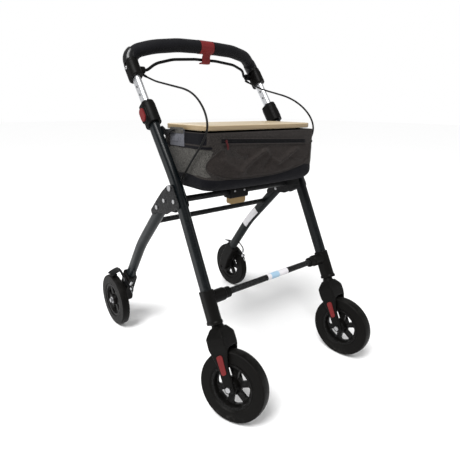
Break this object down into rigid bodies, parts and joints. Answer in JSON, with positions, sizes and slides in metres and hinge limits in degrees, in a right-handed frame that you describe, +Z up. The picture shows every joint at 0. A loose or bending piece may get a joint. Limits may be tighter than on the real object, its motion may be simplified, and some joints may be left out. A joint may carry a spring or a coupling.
{
  "type": "rollator walker",
  "caption": "Folding rollator walker with an arched handle, pull-bar brake, seat board, fabric basket, swivelling front casters and braked rear wheels.",
  "frame": {"origin": "centre of the bounding box at floor level", "axes": "+Z up; the walker travels towards -Y and its user stands at +Y; +X is the user's left"},
  "size_m": [0.567, 0.7829, 0.9225],
  "materials": {
    "frame_tube": "black anodised with a dark blue-green sheen",
    "silver_tube": "satin anodised",
    "black_plastic": "fine moulded grain",
    "foam": "closed-cell foam",
    "red_plastic": "satin moulded",
    "tyre": "matt solid tyre",
    "steel": "zinc plated",
    "black_steel": "black powder coat",
    "tray_board": "pale lacquered plywood",
    "beige_plastic": "satin moulded",
    "basket_fabric": "melange woven polyester",
    "cable": "smooth black sheath"
  },
  "bodies": {
    "front_frame": {"front_tube_left": "frame_tube", "front_tube_right": "frame_tube", "front_casting_left": "black_plastic", "front_casting_right": "black_plastic", "height_collar_left": "black_plastic", "height_collar_right": "black_plastic", "upper_brake_cable_left": "cable", "upper_brake_cable_right": "cable", "front_crossbar": "black_steel", "tray": "tray_board", "tray_arms": "black_steel", "basket": "basket_fabric"},
    "handle": {"inner_tube_left": "silver_tube", "inner_tube_right": "silver_tube", "grip_left": "foam", "grip_right": "foam", "brake_bracket_left": "black_plastic", "brake_bracket_right": "black_plastic", "handlebar": "black_steel"},
    "brake_bar": {"brake_bar": "black_steel"},
    "parking_clip": {"parking_clip": "red_plastic"},
    "rear_frame": {"gusset_left": "black_steel", "gusset_right": "black_steel", "rear_leg_left": "frame_tube", "rear_leg_right": "frame_tube", "rear_foot_left": "black_plastic", "rear_foot_right": "black_plastic", "lower_brake_cable_left": "cable", "lower_brake_cable_right": "cable", "gusset_rivets": "steel", "rear_axles": "steel", "rear_crossbar": "black_steel", "upper_bar": "black_steel", "latch_housing": "black_plastic", "brake_pins": "steel"},
    "release_lever": {"release_lever": "beige_plastic"},
    "height_button_left": {"height_button_left": "red_plastic"},
    "caster_left": {"caster_fork_left": "black_plastic", "fork_strips_left": "red_plastic", "caster_axle_left": "steel"},
    "front_wheel_left": {"front_rim_left": "black_plastic", "front_tyre_left": "tyre", "front_bearings_left": "steel"},
    "rear_wheel_left": {"rear_rim_left": "black_plastic", "rear_tyre_left": "tyre", "rear_bearings_left": "steel"},
    "rear_brake_left": {"rear_brake_left": "black_steel"},
    "height_button_right": {"height_button_right": "red_plastic"},
    "caster_right": {"caster_fork_right": "black_plastic", "fork_strips_right": "red_plastic", "caster_axle_right": "steel"},
    "front_wheel_right": {"front_rim_right": "black_plastic", "front_tyre_right": "tyre", "front_bearings_right": "steel"},
    "rear_wheel_right": {"rear_rim_right": "black_plastic", "rear_tyre_right": "tyre", "rear_bearings_right": "steel"},
    "rear_brake_right": {"rear_brake_right": "black_steel"}
  },
  "joints": [
    {"name": "handle_height", "type": "slide", "parent": "front_frame", "child": "handle", "axis": [0, 0.5869, 0.8096], "range_m": [-0.055, 0.045], "deforming": ["upper_brake_cable_left", "upper_brake_cable_right"]},
    {"name": "brake_squeeze", "type": "hinge", "parent": "handle", "child": "brake_bar", "pos_m": [0, 0.1405, 0.835], "axis": [-1, 0, 0], "range_deg": [0, 12], "stiffness_Nm_per_rad": 0.8},
    {"name": "parking_clip_turn", "type": "hinge", "parent": "handle", "child": "parking_clip", "pos_m": [0, 0.1035, 0.904], "axis": [-1, 0, 0], "range_deg": [0, 32]},
    {"name": "fold", "type": "hinge", "parent": "front_frame", "child": "rear_frame", "pos_m": [0, -0.0635, 0.544], "axis": [-1, 0, 0], "range_deg": [0, 45]},
    {"name": "latch_lift", "type": "slide", "parent": "rear_frame", "child": "release_lever", "axis": [0, 0, 1], "range_m": [0, 0.0075], "stiffness_N_per_m": 300},
    {"name": "height_button_left_press", "type": "slide", "parent": "front_frame", "child": "height_button_left", "axis": [-1, 0, 0], "range_m": [0, 0.004], "stiffness_N_per_m": 500},
    {"name": "caster_left_swivel", "type": "hinge", "parent": "front_frame", "child": "caster_left", "pos_m": [0.2184, -0.3015, 0.09], "axis": [0, 0.4472, 0.8944], "continuous": true},
    {"name": "front_wheel_left_spin", "type": "hinge", "parent": "caster_left", "child": "front_wheel_left", "pos_m": [0.2184, -0.3015, 0.09], "axis": [0.9954, 0.0857, -0.0429], "continuous": true},
    {"name": "rear_wheel_left_spin", "type": "hinge", "parent": "rear_frame", "child": "rear_wheel_left", "pos_m": [0.2634, 0.3015, 0.09], "axis": [1, 0, 0], "continuous": true},
    {"name": "rear_brake_left_press", "type": "hinge", "parent": "rear_frame", "child": "rear_brake_left", "pos_m": [0.2443, 0.2545, 0.178], "axis": [-1, 0, 0], "range_deg": [0, 2]},
    {"name": "height_button_right_press", "type": "slide", "parent": "front_frame", "child": "height_button_right", "axis": [1, 0, 0], "range_m": [0, 0.004], "stiffness_N_per_m": 500},
    {"name": "caster_right_swivel", "type": "hinge", "parent": "front_frame", "child": "caster_right", "pos_m": [-0.2184, -0.3015, 0.09], "axis": [0, 0.4472, 0.8944], "continuous": true},
    {"name": "front_wheel_right_spin", "type": "hinge", "parent": "caster_right", "child": "front_wheel_right", "pos_m": [-0.2184, -0.3015, 0.09], "axis": [0.9191, 0.3524, -0.1762], "continuous": true},
    {"name": "rear_wheel_right_spin", "type": "hinge", "parent": "rear_frame", "child": "rear_wheel_right", "pos_m": [-0.2634, 0.3015, 0.09], "axis": [1, 0, 0], "continuous": true},
    {"name": "rear_brake_right_press", "type": "hinge", "parent": "rear_frame", "child": "rear_brake_right", "pos_m": [-0.2443, 0.2545, 0.178], "axis": [-1, 0, 0], "range_deg": [0, 2]}
  ],
  "couplings": [
    {"joint": "rear_brake_left_press", "follows": "brake_squeeze", "ratio": 0.16667},
    {"joint": "rear_brake_right_press", "follows": "brake_squeeze", "ratio": 0.16667}
  ]
}
